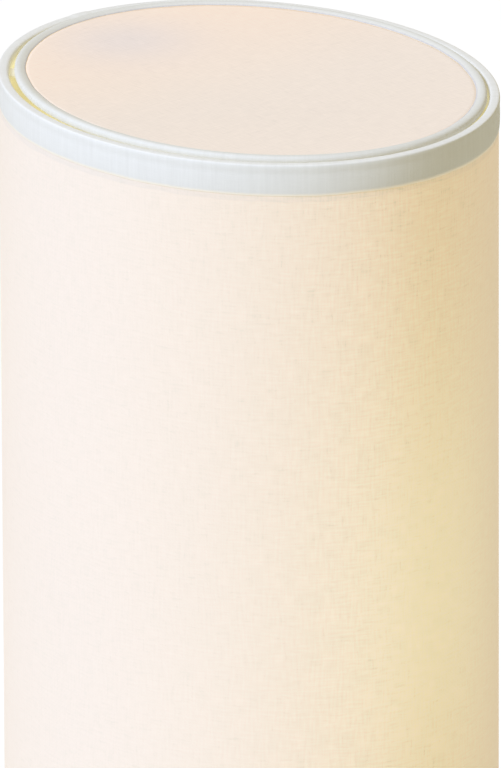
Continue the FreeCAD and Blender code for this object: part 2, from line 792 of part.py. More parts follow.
def make_stays():
    stays = []
    low = f"{HEM_MID} + wire_dia / 2 + weld_gap"
    length = f"{RIM_MID} - {HEM_MID} - wire_dia - 2 * weld_gap"
    for i, (sx, sy) in enumerate(CORNERS):
        x, y = f"{sx} * {STAY_X}", f"{sy} * {STAY_Y}"
        stays.append(cylinder(f"stay_{i}", "wire_dia / 2", length, x, y, low))
    group("shade_stays", stays)


def make_spider():
    reach = f"(sqrt({STAY_X} ^ 2 + {STAY_Y} ^ 2) - wire_dia / 2 - weld_gap)"
    hub = cylinder("spider_hub", "hub_dia / 2", "arm_thick", z=HUB_UNDER)
    pieces = [hub]
    for i, sign in enumerate((1, -1)):
        bar = doc.addObject("Part::Box", f"spider_bar_{i}")
        tie(bar, Length=f"2 * {reach}", Width="arm_width", Height="arm_thick")
        angle = f"{sign} * atan({STAY_Y} / {STAY_X})"
        turn_by(bar, angle)
        x = f"-{reach} * cos({angle}) + arm_width / 2 * sin({angle})"
        y = f"-{reach} * sin({angle}) - arm_width / 2 * cos({angle})"
        put(bar, x, y, HUB_UNDER)
        pieces.append(bar)
    hole_side = "post_side + 2 * post_gap"
    square = box("spider_hole", hole_side, hole_side, "arm_thick", z=HUB_UNDER)
    node(cut("spider", fuse("spider_blank", pieces), square), "upper_spider")


def make_tape(name, level, up):
    """Tape folded over an edge of the shade; up is 1 over the rim, -1 under the hem."""
    body = new_body(name)
    profile = new_sketch(body, "XZ_Plane", f"{name}_profile")
    outer, inner = TAPE_ROUND, f"({TAPE_ROUND} - tape_thick)"
    middle = half_long(TAPE_MID)
    band = f"(tape_band - {TAPE_ROUND})"
    centre = V(value_of(middle), 0, 0)
    first = profile.GeometryCount
    sweep = (0, math.pi) if up > 0 else (math.pi, 2 * math.pi)
    for radius in (outer, inner):
        circle = Part.Circle(centre, V(0, 0, 1), value_of(radius))
        profile.addGeometry(Part.ArcOfCircle(circle, *sweep), False)
    right, left = (1, 2) if up > 0 else (2, 1)
    legs = [
        (right, 1, band, "outside"),
        (left, -1, "tape_turn", "inside"),
    ]
    for end, sign, length, tag in legs:
        out_x = centre.x + sign * value_of(outer)
        in_x = centre.x + sign * value_of(inner)
        foot_y = -up * value_of(length)
        index = profile.GeometryCount
        profile.addGeometry(Part.LineSegment(V(out_x, 0, 0), V(out_x, foot_y, 0)), False)
        profile.addGeometry(Part.LineSegment(V(out_x, foot_y, 0), V(in_x, foot_y, 0)), False)
        profile.addGeometry(Part.LineSegment(V(in_x, foot_y, 0), V(in_x, 0, 0)), False)
        profile.addConstraint(Sketcher.Constraint("Coincident", first, end, index, 1))
        profile.addConstraint(Sketcher.Constraint("Coincident", index, 2, index + 1, 1))
        profile.addConstraint(Sketcher.Constraint("Coincident", index + 1, 2, index + 2, 1))
        profile.addConstraint(Sketcher.Constraint("Coincident", index + 2, 2, first + 1, end))
        profile.addConstraint(Sketcher.Constraint("Vertical", index))
        profile.addConstraint(Sketcher.Constraint("Horizontal", index + 1))
        fix(profile, Sketcher.Constraint("Distance", index, abs(foot_y)), f"{tag}_leg", length)
    for arc, radius, tag in ((first, outer, "outer"), (first + 1, inner, "inner")):
        profile.addConstraint(Sketcher.Constraint("PointOnObject", arc, 3, -1))
        profile.addConstraint(Sketcher.Constraint("PointOnObject", arc, 1, -1))
        profile.addConstraint(Sketcher.Constraint("PointOnObject", arc, 2, -1))
        fix(profile, Sketcher.Constraint("Radius", arc, value_of(radius)), f"{tag}_round", radius)
        place = Sketcher.Constraint("DistanceX", -1, 1, arc, 3, centre.x)
        fix(profile, place, f"{tag}_centre", middle)
    sweep_oval(body, name, profile, "0")
    put(body, z=level)
    return body


def make_tapes():
    node(make_tape("rim_tape", RIM_MID, 1), "top_tape")
    node(make_tape("hem_tape", HEM_MID, -1), "bottom_tape")


def make_seam():
    """The cover's lap, a shallow strip down the -X end between the two tapes."""
    low = "(shade_gap + tape_band)"
    height = f"{RIM_CREST} - tape_band - {low}"
    skins = []
    for name, inset in (("seam_out", "-seam_thick"), ("seam_in", "0")):
        oval = doc.addObject("Part::Ellipse", f"{name}_edge")
        tie(oval, MajorRadius=half_long(f"({inset})"), MinorRadius=half_short(f"({inset})"))
        put(oval, z=low)
        skin = doc.addObject("Part::Extrusion", name)
        skin.Base = oval
        skin.DirMode = "Custom"
        skin.Dir = V(0, 0, 1)
        skin.Solid = True
        tie(skin, LengthFwd=height)
        skins.append(skin)
    strip = box("seam_strip", "seam_width", "seam_width", height, x="-shade_length / 2", z=low)
    lap = doc.addObject("Part::Common", "seam_lap")
    lap.Base = cut("seam_skin", *skins)
    lap.Tool = strip
    node(lap, "back_seam")


def make_lid_rests():
    """Cranked brackets on the uprights, whose ledges carry the lid below the rim."""
    brackets = []
    outer = "-(wire_dia / 2 + weld_gap)"
    riser = f"({WIRE_MID} - {TAPE_IN} - rest_ease)"
    low = "-rest_drop"
    across, along = half_long(WIRE_MID), half_short(WIRE_MID)
    facing = f"atan({across} * sin(stay_angle) / ({along} * cos(stay_angle)))"
    for i, (sx, sy) in enumerate(CORNERS):
        body = new_body(f"rest_{i}")
        profile = new_sketch(body, "XZ_Plane", f"rest_{i}_profile")
        corners = [
            (outer, f"{low} - rest_leg"),
            (outer, low),
            (riser, low),
            (riser, "0"),
            (f"{riser} - rest_reach", "0"),
            (f"{riser} - rest_reach", "-rest_thick"),
            (f"{riser} - rest_thick", "-rest_thick"),
            (f"{riser} - rest_thick", f"{low} - rest_thick"),
            (f"{outer} - rest_thick", f"{low} - rest_thick"),
            (f"{outer} - rest_thick", f"{low} - rest_leg"),
        ]
        add_outline(profile, "rest", corners)
        pad(body, profile, "rest_width", middle=True)
        turn_by(body, f"{90 - 90 * sx} deg + {sx * sy} * {facing}")
        put(body, f"{sx} * {STAY_X}", f"{sy} * {STAY_Y}", LEDGE_TOP)
        brackets.append(body)
    group("lid_rests", brackets)


# ---------------------------------------------------------------- lid

def make_lid():
    panel_edge = f"({LID_WIRE_MID} + lid_wire_dia / 2 + weld_gap)"
    face = f"({LID_MID} + panel_rise)"
    fabric = oval_disc("lid_face", panel_edge, f"{face} - lid_fabric_thick", "lid_fabric_thick")
    under = f"{face} - lid_fabric_thick - panel_thick"
    panel = oval_disc("lid_board", panel_edge, under, "panel_thick")
    wire = oval_wire("lid_wire", LID_WIRE_MID, LID_MID, "lid_wire_dia")
    tape = make_lid_tape()
    pieces = {"lid_panel": panel, "lid_fabric": fabric, "lid_ring": wire, "lid_tape": tape}
    for name, piece in pieces.items():
        tie(piece, **{"Placement.Base.x": "lid_shift_x", "Placement.Base.y": "lid_shift_y"})
        node(piece, name)


def make_lid_tape():
    """Tape wrapped round the lid's wire, open only where the panel comes in."""
    body = new_body("lid_wrap")
    profile = new_sketch(body, "XZ_Plane", "lid_wrap_profile")
    middle = half_long(LID_WIRE_MID)
    inner = "(lid_wire_dia / 2 + glue_gap)"
    outer = LID_BEAD
    centre = V(value_of(middle), 0, 0)
    lips = {
        "upper": "(panel_rise + tape_ease)",
        "lower": "(panel_thick + lid_fabric_thick - panel_rise + tape_ease)",
    }
    upper = math.pi - math.asin(value_of(lips["upper"]) / value_of(inner))
    lower = -math.pi + math.asin(value_of(lips["lower"]) / value_of(inner))
    for radius in (outer, inner):
        circle = Part.Circle(centre, V(0, 0, 1), value_of(radius))
        profile.addGeometry(Part.ArcOfCircle(circle, lower, upper), False)
    for index, radius, tag in ((0, outer, "outer"), (1, inner, "inner")):
        profile.addConstraint(Sketcher.Constraint("PointOnObject", index, 3, -1))
        fix(profile, Sketcher.Constraint("Radius", index, value_of(radius)), f"{tag}_r", radius)
        place = Sketcher.Constraint("DistanceX", -1, 1, index, 3, centre.x)
        fix(profile, place, f"{tag}_centre", middle)
    for end, tag, sign in ((1, "lower", -1), (2, "upper", 1)):
        level = sign * value_of(lips[tag])
        line = profile.GeometryCount
        out_x = centre.x - math.sqrt(value_of(outer) ** 2 - level**2)
        in_x = centre.x - math.sqrt(value_of(inner) ** 2 - level**2)
        profile.addGeometry(Part.LineSegment(V(out_x, level, 0), V(in_x, level, 0)), False)
        profile.addConstraint(Sketcher.Constraint("Coincident", line, 1, 0, end))
        profile.addConstraint(Sketcher.Constraint("Coincident", line, 2, 1, end))
        profile.addConstraint(Sketcher.Constraint("Horizontal", line))
        height = Sketcher.Constraint("DistanceY", -1, 1, line, 1, level)
        fix(profile, height, f"{tag}_lip", f"{sign} * {lips[tag]}")
    sweep_oval(body, "lid_wrap", profile, LID_WIRE_MID)
    put(body, z=LID_MID)
    return body


# ---------------------------------------------------------------- whole lamp

def make_lamp():
    make_feet()
    make_base_plate()
    make_cord_bush()
    make_locating_tabs()
    make_stem_flange()
    make_flange_screws()
    make_stem()
    make_stem_cap()
    for i in HOLDERS:
        make_bracket(i)
        make_holder(i)
        make_bulb_cap(i)
        make_bulb_glass(i)
    make_bracket_screws()
    make_nipples()
    make_contacts()
    make_leads()
    make_shade_walls()
    make_shade_rings()
    make_stays()
    make_spider()
    make_tapes()
    make_seam()
    make_lid_rests()
    make_lid()


def check_document():
    """Stop before anything is written if a feature failed or a sub-part is not sound."""
    doc.recompute()
    failed = [item.Name for item in doc.Objects if "Invalid" in item.State or "Error" in item.State]
    if failed:
        raise RuntimeError(f"features failed: {failed}")
    for part in nodes:
        if part.Shape.isNull() or not part.Shape.isValid() or not part.Shape.Solids:
            raise RuntimeError(f"{part.Label} has no sound solid")


def write_parts():
    os.makedirs("parts", exist_ok=True)
    for part in nodes:
        part.Shape.exportStep(f"parts/{part.Label}.step")
        print(f"{part.Label}: {len(part.Shape.Solids)} solids, {part.Shape.Volume / 1000:.2f} cm3")


make_lamp()
check_document()
write_parts()
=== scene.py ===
import math

import bpy
from mathutils import Matrix, Vector, noise


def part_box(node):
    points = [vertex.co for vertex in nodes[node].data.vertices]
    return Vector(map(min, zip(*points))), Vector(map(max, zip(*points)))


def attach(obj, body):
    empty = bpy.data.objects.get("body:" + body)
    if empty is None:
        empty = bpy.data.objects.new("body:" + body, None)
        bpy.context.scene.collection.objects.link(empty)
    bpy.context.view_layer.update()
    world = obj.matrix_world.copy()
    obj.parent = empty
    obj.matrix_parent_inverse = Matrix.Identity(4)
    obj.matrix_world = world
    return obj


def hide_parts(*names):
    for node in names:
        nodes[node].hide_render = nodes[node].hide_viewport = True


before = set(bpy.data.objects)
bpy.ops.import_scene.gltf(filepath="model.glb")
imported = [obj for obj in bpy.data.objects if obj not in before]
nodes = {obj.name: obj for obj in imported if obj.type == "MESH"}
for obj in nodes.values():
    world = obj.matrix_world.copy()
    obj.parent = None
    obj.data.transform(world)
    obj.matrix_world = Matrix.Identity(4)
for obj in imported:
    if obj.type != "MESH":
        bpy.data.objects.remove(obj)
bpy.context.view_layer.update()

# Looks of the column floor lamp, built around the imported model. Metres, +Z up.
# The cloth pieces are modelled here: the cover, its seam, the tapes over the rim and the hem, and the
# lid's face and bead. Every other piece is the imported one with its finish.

MM = 0.001

# ---------------------------------------------------------------- camera and light

PHOTO_HEIGHT = 768
AZIMUTH = math.radians(51.37)
ELEVATION = math.radians(19.55)
ROLL = math.radians(-0.22)
DISTANCE = 12.117
SIDESTEP, DROP = 0.55 * MM, 173.5 * MM
AIM_HEIGHT = 1.495
FOCAL_PIXELS = 20880
SENSOR = 36.0
CLIP_NEAR, CLIP_FAR = 0.5, 200.0

RIGHT = Vector((math.cos(AZIMUTH), math.sin(AZIMUTH), 0))
FRONT = Vector((math.sin(AZIMUTH), -math.cos(AZIMUTH), 0))
UP = Vector((0, 0, 1))


def make_camera():
    """A long lens from the front right, a little above the rim."""
    data = bpy.data.cameras.new("camera")
    data.sensor_width = SENSOR
    data.lens = FOCAL_PIXELS * SENSOR / PHOTO_HEIGHT
    data.clip_start, data.clip_end = CLIP_NEAR, CLIP_FAR
    camera = bpy.data.objects.new("camera", data)
    bpy.context.scene.collection.objects.link(camera)
    back = FRONT * math.cos(ELEVATION) + UP * math.sin(ELEVATION)
    up = back.cross(RIGHT)
    turned_right = RIGHT * math.cos(ROLL) + up * math.sin(ROLL)
    turned_up = up * math.cos(ROLL) - RIGHT * math.sin(ROLL)
    place = UP * AIM_HEIGHT + back * DISTANCE + RIGHT * SIDESTEP - up * DROP
    turn = Matrix((turned_right, turned_up, back)).transposed().to_4x4()
    camera.matrix_world = Matrix.Translation(place) @ turn
    bpy.context.scene.camera = camera


# The key's share on a face turned left, to the front and up, in white paper's brightness.
KEY_LEFT, KEY_FRONT, KEY_ABOVE = 0.45, 0.37, 0.50
KEY_COLOUR = (0.68, 0.78, 1.0)
KEY_LEVEL = 1.28
KEY_SPREAD = math.radians(18)
SKY_COLOUR = (0.42, 0.36, 0.20)
FLOOR_COLOUR = (0.53, 0.525, 0.45)
FLOOR_LIFT = (0.56, 0.56, 0.64)
FLOOR_REACH = 60.0


# ---------------------------------------------------------------- ovals

OVAL_COLUMNS = 512
STEPS_IN_COLUMN = 8


class Oval:
    """An ellipse in plan, with its length around measured once for even steps."""

    def __init__(self, half_long, half_short, centre=(0.0, 0.0), columns=OVAL_COLUMNS):
        self.half_long, self.half_short, self.centre = half_long, half_short, Vector(centre)
        fine = STEPS_IN_COLUMN * columns
        around = [0.0]
        last = self.at(0)
        for i in range(1, fine + 1):
            here = self.at(2 * math.pi * i / fine)
            around.append(around[-1] + (here - last).length)
            last = here
        self.length = around[-1]
        self.angles = []
        j = 0
        for i in range(columns):
            wanted = self.length * i / columns
            while around[j + 1] < wanted:
                j += 1
            share = (wanted - around[j]) / (around[j + 1] - around[j])
            self.angles.append(2 * math.pi * (j + share) / fine)

    def at(self, angle, out=0.0):
        """The point at that angle, moved out of the ellipse along its normal."""
        place = Vector((self.half_long * math.cos(angle), self.half_short * math.sin(angle)))
        normal = Vector((math.cos(angle) / self.half_long, math.sin(angle) / self.half_short))
        return place + normal.normalized() * out + self.centre


def link(name, points, faces, threads):
    """A smooth mesh piece; threads gives each corner its place along and across the cloth."""
    mesh = bpy.data.meshes.new(name)
    mesh.from_pydata(points, [], faces)
    layer = mesh.uv_layers.new(name="thread")
    layer.data.foreach_set("uv", [value for pair in threads for value in pair])
    for face in mesh.polygons:
        face.use_smooth = True
    mesh.update()
    piece = bpy.data.objects.new(name, mesh)
    bpy.context.scene.collection.objects.link(piece)
    return piece


def sweep(name, oval, section, flip=False):
    """A closed section swept round an oval: section(angle, along) gives (out, z) pairs.

    A corner's thread is the length round the oval and the length along the section, in metres.
    """
    columns = len(oval.angles)
    points, run = [], [0.0]
    for i, angle in enumerate(oval.angles):
        pairs = section(angle, oval.length * i / columns)
        for out, z in pairs:
            place = oval.at(angle, out)
            points.append((place.x, place.y, z))
        if i == 0:
            for (a, b), (c, d) in zip(pairs, pairs[1:] + pairs[:1]):
                run.append(run[-1] + math.hypot(c - a, d - b))
    rows = len(points) // columns
    faces, threads = [], []
    for i in range(columns):
        following = (i + 1) % columns
        left, right = oval.length * i / columns, oval.length * (i + 1) / columns
        for j in range(rows):
            above = (j + 1) % rows
            face = [i * rows + j, following * rows + j, following * rows + above, i * rows + above]
            corners = [(left, run[j]), (right, run[j]), (right, run[j + 1]), (left, run[j + 1])]
            faces.append(face[::-1] if flip else face)
            threads += corners[::-1] if flip else corners
    return link(name, points, faces, threads)


def wander(along, seed, size):
    """A smooth drift of about the given size along a length."""
    return size * noise.noise(Vector((along, seed, 0.5 * seed)))


# ---------------------------------------------------------------- cloth

cover_low, cover_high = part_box("shade_fabric")
tape_low, tape_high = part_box("top_tape")
hem_low, hem_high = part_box("bottom_tape")
lid_low, lid_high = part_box("lid_tape")
face_low, face_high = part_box("lid_fabric")
seam_low, seam_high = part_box("back_seam")
panel_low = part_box("lid_panel")[0]

wall = Oval((cover_high.x - cover_low.x) / 2, (cover_high.y - cover_low.y) / 2)

# The cover. The slack is its drift in and out of the wall.
COVER_ROWS = 147
COVER_THICK = 0.8 * MM
SLACK = 0.16 * MM
SLACK_INSET = 0.6 * SLACK
SLACK_ROUND, SLACK_UP = 9, 4

# The tape over the rim and the hem: a band outside, a round over the wire, a turn inside.
TAPE_THICK = 0.5 * MM
TAPE_OUT = tape_high.x - wall.half_long
BAND_ROWS, ROUND_STEPS = 12, 20
BAND_INSET, BAND_PILLOW = 0.12 * MM, 0.10 * MM
BAND_WAVES, BAND_SEED = 40, 3.1
EDGE_DRIFT = 0.35 * MM
FOOT_DEPTH, FOOT_POWER, FOOT_EDGE = 0.33 * MM, 8, 0.012
GROOVE_DEPTH, GROOVE_BELOW, GROOVE_REACH = 0.10 * MM, 3.0 * MM, 1.4 * MM
BEAD = 3.175 * MM
CREST_POWER, INNER_POWER = 5.5, 3.2
TURN_IN = 8.0 * MM
LAP, LAP_SLOPE, LAP_RISE = 6.0 * MM, 1.0 * MM, 0.3 * MM

# The lid's taped ring and its cloth face.
LID_BEAD = 2.9 * MM
LID_TAPE = 0.45 * MM
LID_STEPS = 22
LID_POWER = 2.6
LIP, LIP_POWER = 0.9 * MM, 1.6
LIP_WAVES, LIP_SEED = 60, 5.2
LIP_CLEAR, LIP_INSET, LIP_GAP, LIP_BEND = 0.15 * MM, 0.12 * MM, 0.10 * MM, 0.3 * MM
FACE_RINGS, FACE_COLUMNS = 40, 192
CROWN, RIPPLE = 0.35 * MM, 0.12 * MM
RIPPLE_WAVES, RIPPLE_SEED = 14, 2.0

# The lap of the cover at its -X end.
SEAM_ROWS, SEAM_COLUMNS = 160, 10
SEAM_THICK, SEAM_CLEAR, SEAM_SINK = 0.45 * MM, 0.02 * MM, 0.05 * MM
SEAM_SHARE, SEAM_SLOPE = 0.97, 4
SEAM_WAVES, SEAM_SEED, SEAM_DRIFT = 9, 1.7, 0.2 * MM


def make_cover():
    """The cover: one long tube with the faint slack that laminated cloth keeps."""
    low, high = cover_low.z, cover_high.z

    def section(angle, _along):
        pairs = []
        x, y = wall.at(angle)
        for j in range(COVER_ROWS + 1):
            z = low + (high - low) * j / COVER_ROWS
            spot = Vector((x * SLACK_ROUND, y * SLACK_ROUND, z * SLACK_UP))
            pairs.append((noise.noise(spot) * SLACK - SLACK_INSET, z))
        return pairs + [(-COVER_THICK, high), (-COVER_THICK, low)]

    return sweep("cover", wall, section)


def fold_round(radius, turn):
    """A point of the fold over the wire: flatter on top and squarer outside than a circle."""
    power = 2 / (CREST_POWER if turn < math.pi / 2 else INNER_POWER)
    across, up = math.cos(turn), math.sin(turn)
    return math.copysign(radius * abs(across) ** power, across), radius * abs(up) ** power


def folded_tape(name, middle, foot, up):
    """Tape glued over an edge, from its foot on the cover to its turn inside the wall.

    middle is the height of the wire, and up is 1 for an upper edge and -1 for a lower one.
    """
    centre_out = TAPE_OUT - BEAD
    shares = (0.0, FOOT_EDGE, *(j / BAND_ROWS for j in range(1, BAND_ROWS)))

    def section(_angle, along):
        edge = foot + up * wander(along * BAND_WAVES, BAND_SEED, EDGE_DRIFT)
        from_seam = abs(along - wall.length / 2)
        overlap = LAP_RISE * max(0.0, min(1.0, (LAP - from_seam) / LAP_SLOPE))
        outer, inner = [], []
        for share in shares:
            z = edge + (middle - edge) * share
            pillow = BAND_PILLOW * math.sin(math.pi * share)
            below_bead = (1 - share) * abs(middle - edge) - GROOVE_BELOW
            groove = GROOVE_DEPTH * math.exp(-(below_bead / GROOVE_REACH) ** 2)
            pressed = FOOT_DEPTH * (1 - share) ** FOOT_POWER
            out = TAPE_OUT - BAND_INSET + pillow - groove - pressed
            outer.append((out + overlap, z))
            inner.append((max(out - TAPE_THICK, 0.0), z))
        for radius, extra, side in ((BEAD, overlap, outer), (BEAD - TAPE_THICK, 0, inner)):
            for j in range(ROUND_STEPS + 1):
                across, rise = fold_round(radius + extra, math.pi * j / ROUND_STEPS)
                side.append((centre_out + across, middle + up * rise))
            side.append((centre_out - radius, middle - up * TURN_IN))
        return outer + inner[::-1]

    return sweep(name, wall, section, flip=up < 0)


def make_lid_bead():
    """Tape wrapped round the lid's ring, with a narrow lip on the face and one below."""
    centre = ((lid_low.x + lid_high.x) / 2, (lid_low.y + lid_high.y) / 2)
    ring = Oval((lid_high.x - lid_low.x) / 2 - LID_BEAD, (lid_high.y - lid_low.y) / 2 - LID_BEAD, centre)
    middle = (lid_low.z + lid_high.z) / 2
    upper = face_high.z - middle + LIP_CLEAR
    lower = panel_low.z - middle - LIP_CLEAR
    last = -math.pi + math.asin((LIP_BEND - lower) / LID_BEAD)

    def section(_angle, along):
        lip = LID_BEAD + LIP + wander(along * LIP_WAVES, LIP_SEED, EDGE_DRIFT)
        outer, inner = [], []
        for radius, side, gap in ((LID_BEAD, outer, 0.0), (LID_BEAD - LID_TAPE, inner, LIP_GAP)):
            drop = radius - upper - LIP_INSET + gap
            for j in range(LID_STEPS // 2):
                share = 1 - 2 * j / LID_STEPS
                side.append((-lip * share, middle + radius - drop * share**LIP_POWER))
            for j in range(LID_STEPS + 1):
                turn = math.pi / 2 + (last - math.pi / 2) * j / LID_STEPS
                power = 2 / LID_POWER if turn > 0 else 1
                across, rise = abs(math.cos(turn)) ** power, abs(math.sin(turn)) ** power
                across = math.copysign(across, math.cos(turn))
                side.append((radius * across, middle + math.copysign(radius * rise, turn)))
            side.append((-lip, middle + lower - LIP_INSET + gap))
        return outer + inner[::-1]

    return sweep("lid_bead", ring, section, flip=True)


def make_lid_face():
    """The lid's cloth face, drawn tight with a faint crown."""
    centre = (face_low + face_high) / 2
    half_long, half_short = (face_high.x - face_low.x) / 2, (face_high.y - face_low.y) / 2
    rings, columns = FACE_RINGS, FACE_COLUMNS
    points = []
    for upper in (True, False):
        for r in range(1, rings + 1):
            share = r / rings
            for i in range(columns):
                angle = 2 * math.pi * i / columns
                x = centre.x + half_long * share * math.cos(angle)
                y = centre.y + half_short * share * math.sin(angle)
                spot = Vector((x * RIPPLE_WAVES, y * RIPPLE_WAVES, RIPPLE_SEED))
                ripple = noise.noise(spot) * RIPPLE * (1 - share)
                rise = CROWN * (1 - share**2) + ripple
                points.append((x, y, face_high.z + rise if upper else face_low.z))
    points += [(centre.x, centre.y, face_high.z + CROWN), (centre.x, centre.y, face_low.z)]
    skin = rings * columns
    faces = []
    for i in range(columns):
        following = (i + 1) % columns
        faces += [(2 * skin, i, following), (2 * skin + 1, skin + following, skin + i)]
        for r in range(rings - 1):
            a, b = r * columns + i, r * columns + following
            c, d = b + columns, a + columns
            faces += [(a, d, c, b), (skin + a, skin + b, skin + c, skin + d)]
        a, b = (rings - 1) * columns + i, (rings - 1) * columns + following
        faces.append((a, skin + a, skin + b, b))
    threads = [points[corner][:2] for face in faces for corner in face]
    return link("lid_face", points, faces, threads)


def make_seam():
    """The cover's lap at its -X end: a shallow strip with soft edges."""
    rows, across = SEAM_ROWS, SEAM_COLUMNS
    low, high = seam_low.z, seam_high.z
    half = (seam_high.y - seam_low.y) / 2
    width = across + 1
    points, places = [], []
    for outside in (True, False):
        for j in range(rows + 1):
            z = low + (high - low) * j / rows
            drift = wander(z * SEAM_WAVES, SEAM_SEED, SEAM_DRIFT)
            for i in range(width):
                share = 2 * i / across - 1
                y = half * share * SEAM_SHARE + drift
                lift = SEAM_THICK * min(1.0, SEAM_SLOPE * (1 - abs(share))) + SEAM_CLEAR
                place = wall.at(math.pi - math.asin(y / wall.half_short), lift if outside else -SEAM_SINK)
                points.append((place.x, place.y, z))
                places.append((y, z))
    skin = (rows + 1) * width
    faces = []
    for j in range(rows):
        for i in range(across):
            a = j * width + i
            faces.append((a, a + width, a + width + 1, a + 1))
            faces.append((skin + a, skin + a + 1, skin + a + width + 1, skin + a + width))
        a, b = j * width, j * width + across
        faces.append((a, skin + a, skin + a + width, a + width))
        faces.append((b, b + width, skin + b + width, skin + b))
    for i in range(across):
        a, b = i, rows * width + i
        faces.append((a, a + 1, skin + a + 1, skin + a))
        faces.append((b, skin + b, skin + b + 1, b + 1))
    return link("seam", points, faces, [places[corner] for face in faces for corner in face])


# ---------------------------------------------------------------- materials

# Colours are linear. A glow is painted light: an emission that stands for the light that comes through a piece
# or lies on it from the lit inside.
NOISE_SPREAD = 3.0

# The cover's cream is split into a cool base colour and a warm painted glow of the inner light; the lid's
# likewise into a grey base and a glow.
COVER_COLOUR, COVER_YARN = (0.51, 0.57, 0.65), (0.10, 0.057, 0.06)
COVER_GLOW, COVER_END_GLOW = (0.475, 0.32, 0.165), (0.525, 0.34, 0.135)
COVER_BULB_GLOW = (0.085, 0.125, 0.09)
COVER_PITCH = 1.45 * MM
LID_COLOUR = (0.60, 0.60, 0.60)
LID_GLOW, LID_END_GLOW, LID_SHADOW_GLOW = (0.352, 0.25, 0.175), (0.415, 0.255, 0.14), (0.31, 0.215, 0.18)
LID_PITCH = 0.7 * MM
TAPE_GLOW = (0.10, 0.09, 0.06)
INSIDE_GLOW = (0.44, 0.41, 0.22)
GLASS_COLOUR, GLASS_GLOW = (0.46, 0.46, 0.45), (0.62, 0.50, 0.31)

# How many times a yarn, a rib or a drift changes in a metre.
WARP_CHANGES, WEFT_CHANGES, SLUB_CHANGES, LUMP_CHANGES = 80.0, 95.0, 110.0, 120.0
DRIFT_FAST, DRIFT_SLOW = 14.0, 9.0
RIBS, RIB_CHANGES = 620.0, 35.0
CORDS, CORD_CHANGES = 230.0, 24.0
THREADS, THREAD_CHANGES = 1400.0, 120.0
THICK_YARN = 0.6

# Places on the lamp where painted light or shade goes, in metres from its axis: pools by the bulbs, the lit
# end of the rim's gap, the warmer +X end of the cover with its yarns showing more, and a painted shadow on the
# lid.
WALL_BY_BULB, WALL_MIDDLE, WALL_REACH = 0.10, 0.01, 0.065
BULB_LIGHT_SPREAD, GLASS_SPREAD = 0.17, 0.038
GAP_X, GAP_Y, GAP_REACH = -0.115, -0.09, 0.05
SHADED_END_FROM, SHADED_END_TO = -0.02, 0.08
WARM_GLOW_MIDDLE, WARM_GLOW_REACH = -0.03, 0.08
BACKLIT_YARN_MIDDLE, BACKLIT_YARN_REACH = -0.01, 0.07
LID_SHADOW_X, LID_SHADOW_Y, LID_SHADOW_REACH = -0.099, -0.012, 0.042
LID_END_FROM, LID_END_TO = 0.04, -0.13


class Finish:
    """One procedural material: its shader, and short calls for the nodes that feed it."""

    def __init__(self, name, **sockets):
        self.material = bpy.data.materials.new(name)
        self.material.use_nodes = True
        self.tree = self.material.node_tree
        self.shader = self.tree.nodes["Principled BSDF"]
        for key, value in sockets.items():
            self.set(key.replace("_", " "), value)

    def set(self, socket, value):
        self.feed(self.shader.inputs[socket], value)

    def feed(self, socket, value):
        if isinstance(value, bpy.types.NodeSocket):
            self.tree.links.new(value, socket)
        elif isinstance(value, tuple) and len(value) == 3 and len(socket.default_value) == 4:
            socket.default_value = (*value, 1)
        else:
            socket.default_value = value

    def put(self, kind, inputs, **settings):
        node = self.tree.nodes.new("ShaderNode" + kind)
        for key, value in settings.items():
            setattr(node, key, value)
        for key, value in inputs.items():
            self.feed(node.inputs[key], value)
        return node.outputs[0]

    def math(self, operation, *values):
        return self.put("Math", dict(enumerate(values)), operation=operation)

    def add(self, *values):
        total = values[0]
        for value in values[1:]:
            total = self.math("ADD", total, value)
        return total

    def times(self, *values):
        total = values[0]
        for value in values[1:]:
            total = self.math("MULTIPLY", total, value)
        return total

    def split(self, vector):
        node = self.tree.nodes.new("ShaderNodeSeparateXYZ")
        self.feed(node.inputs[0], vector)
        return node.outputs[0], node.outputs[1], node.outputs[2]

    def thread(self):
        return self.split(self.put("UVMap", {}, uv_map="thread"))[:2]

    def place(self):
        """The point on the piece, in metres."""
        node = self.tree.nodes.new("ShaderNodeTexCoord")
        return node.outputs["Object"]

    def centred(self, value):
        """Noise that runs from 0 to 1, brought to about -1 to 1."""
        return self.times(self.math("SUBTRACT", value, 0.5), NOISE_SPREAD)

    def grain(self, x, y, seed, detail=1.0):
        """Centred noise over two lengths that are already scaled."""
        spot = self.put("CombineXYZ", {0: x, 1: y, 2: float(seed)})
        return self.centred(self.put("TexNoise", {"Vector": spot, "Scale": 1.0, "Detail": detail}))

    def cloud(self, scale, detail=2.0):
        """Centred noise over the whole piece."""
        ends = {"Vector": self.place(), "Scale": float(scale), "Detail": detail}
        return self.centred(self.put("TexNoise", ends))

    def ease(self, value, low, high, before=0.0, after=1.0):
        ends = {"Value": value, "From Min": low, "From Max": high, "To Min": before, "To Max": after}
        return self.put("MapRange", ends, interpolation_type="SMOOTHSTEP")

    def hump(self, value, middle, width):
        """One at the middle, falling off on both sides."""
        off = self.math("DIVIDE", self.math("SUBTRACT", value, middle), width)
        return self.math("EXPONENT", self.times(off, off, -1.0))

    def shade(self, colour, factor):
        return self.put("VectorMath", {0: colour, "Scale": factor}, operation="SCALE")

    def blend(self, factor, a, b):
        node = self.tree.nodes.new("ShaderNodeMix")
        node.data_type = "RGBA"
        self.feed(node.inputs[0], factor)
        self.feed(node.inputs[6], a)
        self.feed(node.inputs[7], b)
        return node.outputs[2]

    def bump(self, height, depth):
        self.set("Normal", self.put("Bump", {"Height": height, "Distance": depth, "Strength": 1.0}))


def bulb_place(number):
    """Which side of the stem a bulb is on, by its sign, and the height of its widest part."""
    glass_low, glass_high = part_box(f"bulb_glass_{number}")
    return glass_high.x + glass_low.x, glass_high.z - (glass_high.x - glass_low.x) / 2


BULBS = [bulb_place(number) for number in (1, 2, 3)]


